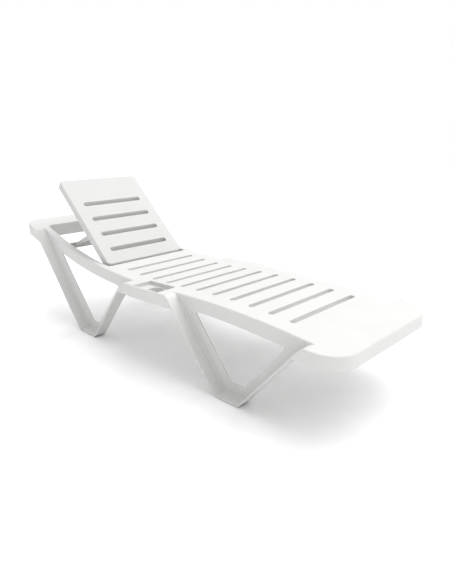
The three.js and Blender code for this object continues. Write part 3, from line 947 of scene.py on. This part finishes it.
def opening_walls(wall):
    """The skirt round the backrest's opening: deeper at the head bar, shallow at the seat."""
    places = [OPENING_HEAD_X - SKIRT_REACH, OPENING_HEAD_X + HEAD_SKIRT_END,
              SEAT_X - SEAT_SKIRT_START, SEAT_X + SKIRT_REACH]
    walls = []
    for x0, x1, depth in zip(places, places[1:], (HEAD_SKIRT_DEPTH, RAIL_DEPTH, SEAT_SKIRT_DEPTH)):
        ring = cut(plan_prism(opening_outline(wall)), plan_prism(opening_outline()))
        walls.append(common(ring, slab(x0 - SKIRT_LAP, x1 + SKIRT_LAP, -FAR, FAR, UNDER_SKIN, depth)))
    return walls


BOSS_RADIUS = 11.0
BOSS_START = 0.2           # how far behind the opening's side the boss starts
BOSS_END = 12.0            # and ends
HOLE_START = 200.0         # the pin's hole starts inside the opening
HOLE_END = 8.0             # and ends this far behind its wall, inside the boss


def hinge_bosses():
    """Round bosses behind the inner walls of the rails, where the hinge pins sit."""
    return [cross_cylinder(HINGE.x, HINGE.z, BOSS_RADIUS,
                           *mirrored(side, OPENING_HALF + BOSS_START, OPENING_HALF + BOSS_END))
            for side in (-1, 1)]


def slot_collars():
    """The collar that hangs under each of the deck's slots."""
    collars = []
    for outline in slot_outlines(COLLAR):
        x0, x1 = min(x for x, y in outline), max(x for x, y in outline)
        under = slab(x0 - COLLAR_REACH, x1 + COLLAR_REACH, -FAR, FAR, UNDER_SKIN, COLLAR_DEPTH)
        collars.append(common(plan_prism(outline), under))
    return collars


def tray_shell():
    """The outside of the tray and its cup's hollow, up to just under the deck's top."""
    under = slab(TRAY_LOW.x - ALONGSIDE, TRAY_HIGH.x + ALONGSIDE, -HALF_WIDTH + UNDER_SKIN, 0,
                 UNDER_SKIN / 2, SHELL_DEPTH)
    return common(union(*tray_solids(TRAY_WALL)), under)


def frame_solid():
    """The whole frame in one piece."""
    wall = size("wall")
    body = slab(HEAD_X, FOOT_X, -HALF_RAIL, HALF_RAIL, 0, wall)
    path = ribbon_path(wall, size("wing_roll"))
    ribbon = path + shifted(path, wall)[::-1]
    for side in (-1, 1):
        body = union(body, side_prism(ribbon, *mirrored(side, HALF_RAIL - wall, HALF_WIDTH)))
        body = union(body, middle_apron(wall, side))
        body = union(body, leg_web(HEAD_V, HEAD_WEB, wall, side), leg_web(FOOT_V, FOOT_WEB, wall, side))
    body = union(body, *end_skirts(wall))
    corners = [(HEAD_X, -HALF_WIDTH), (FOOT_X, -HALF_WIDTH), (FOOT_X, HALF_WIDTH), (HEAD_X, HALF_WIDTH)]
    whole = rounded(corners, [HEAD_RADIUS, FOOT_RADIUS, FOOT_RADIUS, HEAD_RADIUS], steps=14)
    body = common(body, plan_prism(whole))
    body = cut(body, plan_prism(opening_outline()))
    body = union(body, *opening_walls(wall), *hinge_bosses(), *deck_ribs())
    body = union(body, *slot_collars())
    body = cut(body, *[plan_prism(outline) for outline in slot_outlines()])
    body = union(body, tray_shell())
    body = cut(body, *tray_solids(0.0), upright_cylinder(*CUP_PLACE, CUP_DRAIN, 0, FAR, sides=16))
    for side in (-1, 1):
        hole = mirrored(side, HOLE_START, OPENING_HALF + HOLE_END)
        body = cut(body, cross_cylinder(HINGE.x, HINGE.z, PIN_HOLE, *hole))
        body = union(body, *crease_fillets(path, CREASE_RADIUS, side))
    return cut(body, *edge_cutters(whole, path))


class LOUNGER_OT_frame(bpy.types.Operator):
    """Moulds the one-piece frame: deck, rails, wings, end panels, legs and tray"""
    bl_idname = "lounger.frame"
    bl_label = "Frame Moulding"

    def execute(self, context):
        sided = [f"{name}_{side}" for name in ("side_rail", "middle_wing", "head_leg", "foot_leg")
                 for side in ("left", "right")]
        finish_piece(frame_solid(), "frame_moulding", "frame",
                     moulded_polypropylene(colours().frame_white),
                     ["seat_deck", "foot_panel", "head_bar", "cup_tray"] + sided)
        return {"FINISHED"}


CAD_FLAT = math.radians(1)
RACK_EDGE = 1.2


def copy_node(name):
    """A copy of a CAD node's mesh in millimetres, with its flat faces made whole."""
    mesh = frame["nodes"][name].data.copy()
    mesh.transform(Matrix.Scale(1 / MM, 4))
    made = bpy.data.objects.new(name + "_copy", mesh)
    bpy.context.scene.collection.objects.link(made)
    bm = bmesh.new()
    bm.from_mesh(mesh)
    bmesh.ops.remove_doubles(bm, verts=bm.verts, dist=SAME_PLACE / 2)
    bmesh.ops.dissolve_limit(bm, angle_limit=CAD_FLAT, verts=bm.verts, edges=bm.edges)
    bm.to_mesh(mesh)
    bm.free()
    return made


class LOUNGER_OT_racks(bpy.types.Operator):
    """Moulds the notched racks inside the rails"""
    bl_idname = "lounger.racks"
    bl_label = "Notch Racks"

    def execute(self, context):
        material = bpy.data.materials["moulded_polypropylene"]
        for side in ("left", "right"):
            rack = copy_node(f"notch_rack_{side}")
            round_edges(rack, RACK_EDGE, segments=3, concave_too=True)
            finish_piece(rack, f"moulded_rack_{side}", "frame", material,
                         [f"notch_rack_{side}"])
        return {"FINISHED"}


# ---------------------------------------------------------------- the backrest
BACK_LENGTH = 565.0
BACK_WIDTH = 474.0
BACK_SKIRT = 35.0
BACK_RADIUS = 22.0
BACK_EDGE = 6.0            # radius along the face's outer edge
BACK_THINNER = 0.5         # how much thinner the panel's wall is than the frame's
BACK_SLOTS = [86.5 + 101.2 * i for i in range(4)]      # from the lower edge
BACK_SLOT_LENGTH = 354.0
BACK_COLLAR_DEPTH = 31.0
BACK_RIBS = [35.0, 447.0, 505.0]   # from the lower edge, besides one between each two slots
BACK_RIB_HALF = 184.0      # the ribs stay clear of the prop's arms when it folds
BACK_RIB_DEPTH = 20.0
HINGE_ALONG = 12.0
HINGE_BELOW = 28.0
HINGE_BOSS = (7.0, 14.0, 1.0)      # radius, and how far inside the panel's sides it starts and ends
PROP_ALONG = 212.0
LUG_Y = 193.0
LUG_TOP_HALF = 17.0        # half the lug's width at the panel and at its tip
LUG_TIP_HALF = 11.0
LUG_DEPTH = 38.0
LUG_CORNER = 10.0
LUG_HOLE = (180.0, 205.0)
BOSS_HOLE_START = 20.0             # inside the panel's sides
BOSS_HOLE_END = 3.0                # outside them


def back_placing():
    """Moves the panel from lying flat, with its lower edge at the origin, to its place on the hinge."""
    turn = Matrix.Rotation(BACK_ANGLE, 4, "Y")
    hinge_flat = Vector((-HINGE_ALONG, 0, -HINGE_BELOW))
    return Matrix.Translation(HINGE - turn @ hinge_flat) @ turn


def rounded_rect(x0, x1, half, radius):
    """A plan outline with four equal corners."""
    return rounded([(x0, -half), (x1, -half), (x1, half), (x0, half)], radius, steps=8)


def back_shell(wall):
    """The panel's face and the skirt round it, lying flat."""
    half = BACK_WIDTH / 2
    outside = rounded_rect(-BACK_LENGTH, 0, half, BACK_RADIUS)
    inside = rounded_rect(-BACK_LENGTH + wall, -wall, half - wall, BACK_RADIUS - wall)
    return cut(plan_prism(outside, -BACK_SKIRT, 0), plan_prism(inside, -FAR, -wall))


def back_stiffeners():
    """The collars round the slots and the ribs behind the panel."""
    width = size("slot_width") + 2 * COLLAR
    rings = [stadium(-x, 0, width, BACK_SLOT_LENGTH + 2 * COLLAR) for x in BACK_SLOTS]
    collars = [plan_prism(ring, -BACK_COLLAR_DEPTH, -UNDER_SKIN) for ring in rings]
    places = [(a + b) / 2 for a, b in zip(BACK_SLOTS, BACK_SLOTS[1:])] + BACK_RIBS
    cross_ribs = [block(-x, -x + RIB, -BACK_RIB_HALF, BACK_RIB_HALF, -BACK_RIB_DEPTH, -UNDER_SKIN)
                  for x in places]
    long_ribs = [block(-BACK_LENGTH + RIB_INSET, -RIB_INSET, y, y + RIB, -BACK_RIB_DEPTH, -UNDER_SKIN)
                 for y in (-BACK_RIB_HALF - 2, -RIB / 2, BACK_RIB_HALF - 1)]
    return collars + cross_ribs + long_ribs


def prop_lug(side):
    """The lug behind the panel that one of the prop's pins goes through."""
    x = -PROP_ALONG
    corners = [(x - LUG_TOP_HALF, -UNDER_SKIN), (x - LUG_TIP_HALF, -LUG_DEPTH),
               (x + LUG_TIP_HALF, -LUG_DEPTH), (x + LUG_TOP_HALF, -UNDER_SKIN)]
    outline = rounded(corners, [0, LUG_CORNER, LUG_CORNER, 0])
    return side_prism(outline, *mirrored(side, LUG_Y - RIB, LUG_Y + RIB))


def back_solid():
    """The whole panel, lying flat with square edges."""
    half = BACK_WIDTH / 2
    boss_radius, boss_start, boss_end = HINGE_BOSS
    panel = union(back_shell(size("wall") - BACK_THINNER), *back_stiffeners())
    for side in (-1, 1):
        boss = mirrored(side, half - boss_start, half - boss_end)
        panel = union(panel, prop_lug(side))
        panel = union(panel, cross_cylinder(-HINGE_ALONG, -HINGE_BELOW, boss_radius, *boss))
    panel = cut(panel, *[tapered_slot(-x) for x in BACK_SLOTS])
    for side in (-1, 1):
        lug_hole = mirrored(side, *LUG_HOLE)
        boss_hole = mirrored(side, half - BOSS_HOLE_START, half + BOSS_HOLE_END)
        panel = cut(panel, cross_cylinder(-PROP_ALONG, -HINGE_BELOW, PIN_HOLE, *lug_hole))
        panel = cut(panel, cross_cylinder(-HINGE_ALONG, -HINGE_BELOW, PIN_HOLE, *boss_hole))
    return panel


SPILL = 6.0                # how far a slot's cutter stands out of the panel


def tapered_slot(x):
    """A slot whose upper wall slopes inwards, so that only a narrow drain is left at the back."""
    width = size("slot_width")
    slope = width / 2 / BACK_COLLAR_DEPTH
    sections = []
    for depth in (-SPILL, 0, BACK_COLLAR_DEPTH, BACK_COLLAR_DEPTH + SPILL):
        taken = slope * min(max(depth, 0), BACK_COLLAR_DEPTH)
        outline = stadium(x + taken / 2, 0, width - taken, BACK_SLOT_LENGTH)
        sections.append([(px, py, -depth) for px, py in outline])
    return loft(sections)


def back_cutters():
    """Everything that rounds the panel's face: its outline and its slots."""
    outline = rounded_rect(-BACK_LENGTH, 0, BACK_WIDTH / 2, BACK_RADIUS)
    cutters = [edge_cutter(outline, lambda x: BACK_EDGE, 1, flat_face)]
    slot_edge = size("slot_edge")
    for x in BACK_SLOTS:
        slot = stadium(-x, 0, size("slot_width"), BACK_SLOT_LENGTH)
        cutters.append(edge_cutter(slot, lambda x: slot_edge, -1, flat_face, steps=3))
    return cutters


def flat_face(x):
    """Height of the panel's face at x while it lies flat."""
    return 0.0


class LOUNGER_OT_backrest(bpy.types.Operator):
    """Moulds the slotted backrest panel with its skirt, ribs and lugs"""
    bl_idname = "lounger.backrest"
    bl_label = "Backrest Panel"

    def execute(self, context):
        panel = cut(back_solid(), *back_cutters())
        finish_piece(panel, "moulded_backrest", "backrest",
                     shaded_panel_polypropylene(colours().panel_shaded_white), ["backrest_panel"], back_placing())
        return {"FINISHED"}


# ---------------------------------------------------------------- the prop and the pins
PROP_BAR_THICK = 12.0
PROP_BAR_HIGH = 29.0
PROP_BAR_LONG = 472.0
PROP_BAR = Vector((-715.0, 0.0, 405.5))
POCKET_COUNT = 6
POCKET_START = -180.0
POCKET_LENGTH = 55.0
POCKET_HALF = 11.0
POCKET_PITCH = 61.0
POCKET_FLOOR = 2.0         # from the middle of the bar
ARM_Y = 203.0
ARM_WIDTH = 13.0
ARM_HEIGHT = 24.0
EYE_STEP = 15              # degrees between points round the arm's eye
PROP_EDGE = 1.4


def prop_bar():
    """The bar, with its head side cored out between ribs."""
    x, z = PROP_BAR.x, PROP_BAR.z
    half_thick, half_long, half_high = PROP_BAR_THICK / 2, PROP_BAR_LONG / 2, PROP_BAR_HIGH / 2
    bar = block(x - half_thick, x + half_thick, -half_long, half_long, z - half_high, z + half_high)
    for i in range(POCKET_COUNT):
        y = POCKET_START + POCKET_PITCH * i
        bar = cut(bar, block(x - PROP_BAR_THICK, x - POCKET_FLOOR, y, y + POCKET_LENGTH,
                             z - POCKET_HALF, z + POCKET_HALF))
    return bar


def prop_arm(side):
    """An arm from the prop's pivot to its bar, half as high at the bar as at its eye."""
    along = PROP_BAR - PROP_PIVOT
    turn = math.atan2(along.z, along.x)
    r = ARM_HEIGHT / 2
    y0, y1 = mirrored(side, ARM_Y - ARM_WIDTH / 2, ARM_Y + ARM_WIDTH / 2)
    turns = [math.radians(a) for a in range(90, 271, EYE_STEP)]
    eye = [(r * math.cos(a), r * math.sin(a)) for a in turns]
    arm = side_prism(eye + [(along.length, -r / 2), (along.length, r / 2)], y0, y1)
    arm = cut(arm, cross_cylinder(0, 0, PIN_HOLE, y0 - THROUGH, y1 + THROUGH))
    arm.data.transform(Matrix.Translation(PROP_PIVOT) @ Matrix.Rotation(-turn, 4, "Y"))
    return arm


class LOUNGER_OT_prop(bpy.types.Operator):
    """Moulds the folding prop: two arms and the bar that rests in the racks"""
    bl_idname = "lounger.prop"
    bl_label = "Prop"

    def execute(self, context):
        body = union(prop_bar(), prop_arm(-1), prop_arm(1))
        round_edges(body, PROP_EDGE, segments=3)
        finish_piece(body, "moulded_prop", "prop",
                     shaded_prop_polypropylene(colours().prop_shaded_white), ["prop_frame"])
        return {"FINISHED"}


PIN_RADIUS = 5.0
HINGE_HEAD = (7.5, 3.4)    # radius and thickness of a hinge pin's head
PROP_HEAD = (8.0, 3.6)     # and of the heads at both ends of a prop pin


def pin_solid(centre, steps, edge):
    """A pin along Y from (radius, y0, y1) steps, with softened edges."""
    body = union(*[cross_cylinder(centre.x, centre.z, radius, *sorted((y0, y1)), sides=36)
                   for radius, y0, y1 in steps])
    round_edges(body, edge, segments=3)
    return body


def pin_ends(name, side):
    """The inner and the outer end of a pin's CAD node along Y."""
    low, high = node_box(name)
    return (low.y, high.y) if side > 0 else (high.y, low.y)


def hinge_pin(label, side):
    """A pin with one head, outside."""
    inner, outer = pin_ends(f"hinge_pin_{label}", side)
    radius, thick = HINGE_HEAD
    steps = [(PIN_RADIUS, inner, outer - side * 2), (radius, outer - side * thick, outer)]
    return pin_solid(HINGE, steps, edge=0.7)


def prop_pin(label, side):
    """A pin with a head at each end."""
    inner, outer = pin_ends(f"prop_pin_{label}", side)
    radius, thick = PROP_HEAD
    steps = [(PIN_RADIUS, inner + side, outer - side), (radius, inner, inner + side * thick),
             (radius, outer - side * thick, outer)]
    return pin_solid(PROP_PIVOT, steps, edge=0.8)


class LOUNGER_OT_pins(bpy.types.Operator):
    """Makes the hinge pins and the prop's pins, each with a head"""
    bl_idname = "lounger.pins"
    bl_label = "Pins"

    def execute(self, context):
        nylon = moulded_nylon(colours().pin_white)
        for label, side in (("left", 1), ("right", -1)):
            finish_piece(hinge_pin(label, side), f"nylon_hinge_pin_{label}", "frame",
                         nylon, [f"hinge_pin_{label}"])
            finish_piece(prop_pin(label, side), f"nylon_prop_pin_{label}", "backrest",
                         nylon, [f"prop_pin_{label}"])
        return {"FINISHED"}


PAD_CORNER = 8.0
PAD_EDGE = 0.35
GROOVE_PITCH = 8.0
GROOVE_WIDTH = 2.5
GROOVE_DEPTH = 1.0
GROOVE_MARGIN = 5.0        # from the pad's sides
FIRST_GROOVE = 12.0        # from the pad's head end


def foot_pad(low, high):
    """A pad with rounded corners and with grooves across its underside."""
    corners = [(low.x, low.y), (high.x, low.y), (high.x, high.y), (low.x, high.y)]
    pad = plan_prism(rounded(corners, PAD_CORNER), low.z, high.z)
    for i in range(int((high.x - low.x - 2 * GROOVE_PITCH) // GROOVE_PITCH)):
        x = low.x + FIRST_GROOVE + GROOVE_PITCH * i
        pad = cut(pad, block(x, x + GROOVE_WIDTH, low.y + GROOVE_MARGIN, high.y - GROOVE_MARGIN,
                             low.z - GROOVE_DEPTH, low.z + GROOVE_DEPTH))
    round_edges(pad, PAD_EDGE, segments=2)
    return pad


class LOUNGER_OT_pads(bpy.types.Operator):
    """Makes the four grooved rubber pads under the soles"""
    bl_idname = "lounger.pads"
    bl_label = "Foot Pads"

    def execute(self, context):
        rubber = moulded_rubber(colours().pad_grey)
        for leg in ("head", "foot"):
            for label in ("left", "right"):
                name = f"{leg}_foot_pad_{label}"
                pad = foot_pad(*node_box(name))
                finish_piece(pad, f"rubber_{name}", "frame", rubber, [name])
        return {"FINISHED"}


# ---------------------------------------------------------------- stage
CAMERA_AZIMUTH = math.radians(44.88)
CAMERA_ELEVATION = math.radians(17.52)
CAMERA_ROLL = math.radians(-0.79)
CAMERA_DISTANCE = 2.354
CAMERA_TARGET = Vector((0.145, 0.089, -0.123))     # from the middle of the lounger's box
CAMERA_LENS = 30.41
KEY_DIRECTION = Vector((0.14, 0.5, 0.84))
KEY_STRENGTH = 1.8
KEY_ANGLE = math.radians(80)
ROOM_COLOUR = "#EEEEEE"
WALL_COLOUR = "#FFFFFF"
VIEW_GAMMA = 0.8
BACK_WALL = (-0.705, 0.705, 0.07)                  # the way from the lounger to the brighter wall
WALL_EDGE = (0.8, 0.87)                            # cosines between which the wall's light fades in
FLOOR_HALF = 14.0
FLOOR_GAP = 0.0005                                 # keeps the floor just below the pads


def studio_world():
    """A soft white room with one brighter wall behind the lounger's head end."""
    world = bpy.data.worlds.new("studio")
    world.use_nodes = True
    tree = world.node_tree
    direction = node(tree, "ShaderNodeTexCoord").outputs["Generated"]
    towards_wall = node(tree, "ShaderNodeVectorMath", [(0, direction)], operation="DOT_PRODUCT")
    towards_wall.inputs[1].default_value = BACK_WALL
    ramp = node(tree, "ShaderNodeValToRGB", [("Fac", towards_wall.outputs["Value"])])
    for element, position, code in zip(ramp.color_ramp.elements, WALL_EDGE, (ROOM_COLOUR, WALL_COLOUR)):
        element.position = position
        element.color = linear(code)
    tree.links.new(tree.nodes["Background"].inputs["Color"], ramp.outputs["Color"])
    return world


def add_camera(scene):
    """The camera, looking at a place set out from the middle of the lounger's box."""
    target = (CAD_LOW + CAD_HIGH) / 2 + CAMERA_TARGET
    away = Vector((math.sin(CAMERA_AZIMUTH) * math.cos(CAMERA_ELEVATION),
                   -math.cos(CAMERA_AZIMUTH) * math.cos(CAMERA_ELEVATION), math.sin(CAMERA_ELEVATION)))
    camera = bpy.data.objects.new("camera", bpy.data.cameras.new("camera"))
    camera.data.lens = CAMERA_LENS
    camera.location = target + away * CAMERA_DISTANCE
    camera.rotation_mode = "QUATERNION"
    look = (-away).to_track_quat("-Z", "Y")
    camera.rotation_quaternion = look @ Matrix.Rotation(CAMERA_ROLL, 3, "Z").to_quaternion()
    scene.collection.objects.link(camera)
    scene.camera = camera


def add_key_light(scene):
    """One large soft light from above."""
    sun = bpy.data.lights.new("soft_key", "SUN")
    sun.energy = KEY_STRENGTH
    sun.angle = KEY_ANGLE
    key = bpy.data.objects.new("soft_key", sun)
    key.rotation_mode = "QUATERNION"
    key.rotation_quaternion = KEY_DIRECTION.to_track_quat("Z", "Y")
    scene.collection.objects.link(key)


def add_floor(scene):
    """A plain pale floor under the pads."""
    mesh = bpy.data.meshes.new("floor")
    bm = bmesh.new()
    bmesh.ops.create_grid(bm, x_segments=8, y_segments=8, size=FLOOR_HALF)
    bm.to_mesh(mesh)
    bm.free()
    floor = bpy.data.objects.new("floor", mesh)
    floor.location.z = CAD_LOW.z - FLOOR_GAP
    scene.collection.objects.link(floor)
    floor.data.materials.append(painted_floor(colours().floor_white))


class LOUNGER_OT_stage(bpy.types.Operator):
    """Sets up the camera, the pale floor and the soft lights"""
    bl_idname = "lounger.stage"
    bl_label = "Stage"

    def execute(self, context):
        scene = context.scene
        scene.view_settings.view_transform = "Standard"
        scene.view_settings.gamma = VIEW_GAMMA
        scene.world = studio_world()
        add_camera(scene)
        add_key_light(scene)
        add_floor(scene)
        return {"FINISHED"}


# ---------------------------------------------------------------- add-on
OPERATORS = (LOUNGER_OT_frame, LOUNGER_OT_racks, LOUNGER_OT_backrest, LOUNGER_OT_prop,
             LOUNGER_OT_pins, LOUNGER_OT_pads, LOUNGER_OT_stage)


class LOUNGER_PT_sidebar(bpy.types.Panel):
    """Lists the lounger's sizes, colours and pieces"""
    bl_label = "Sun Lounger"
    bl_idname = "LOUNGER_PT_sidebar"
    bl_space_type = "VIEW_3D"
    bl_region_type = "UI"
    bl_category = "Lounger"

    def draw(self, context):
        for group in (context.scene.lounger_sizes, context.scene.lounger_colours):
            box = self.layout.box()
            for name in group.__annotations__:
                box.prop(group, name)
        for operator in OPERATORS:
            self.layout.operator(operator.bl_idname)


CLASSES = (LoungerSizes, LoungerColours) + OPERATORS + (LOUNGER_PT_sidebar,)


def register():
    """Makes the properties, the operators and the panel known."""
    for cls in CLASSES:
        bpy.utils.register_class(cls)
    bpy.types.Scene.lounger_sizes = bpy.props.PointerProperty(type=LoungerSizes)
    bpy.types.Scene.lounger_colours = bpy.props.PointerProperty(type=LoungerColours)


def unregister():
    """Takes back what register did."""
    del bpy.types.Scene.lounger_colours
    del bpy.types.Scene.lounger_sizes
    for cls in reversed(CLASSES):
        bpy.utils.unregister_class(cls)


def main():
    """Builds every piece and the stage."""
    register()
    bpy.ops.lounger.frame()
    bpy.ops.lounger.racks()
    bpy.ops.lounger.backrest()
    bpy.ops.lounger.prop()
    bpy.ops.lounger.pins()
    bpy.ops.lounger.pads()
    bpy.ops.lounger.stage()


if __name__ == "__main__":
    main()
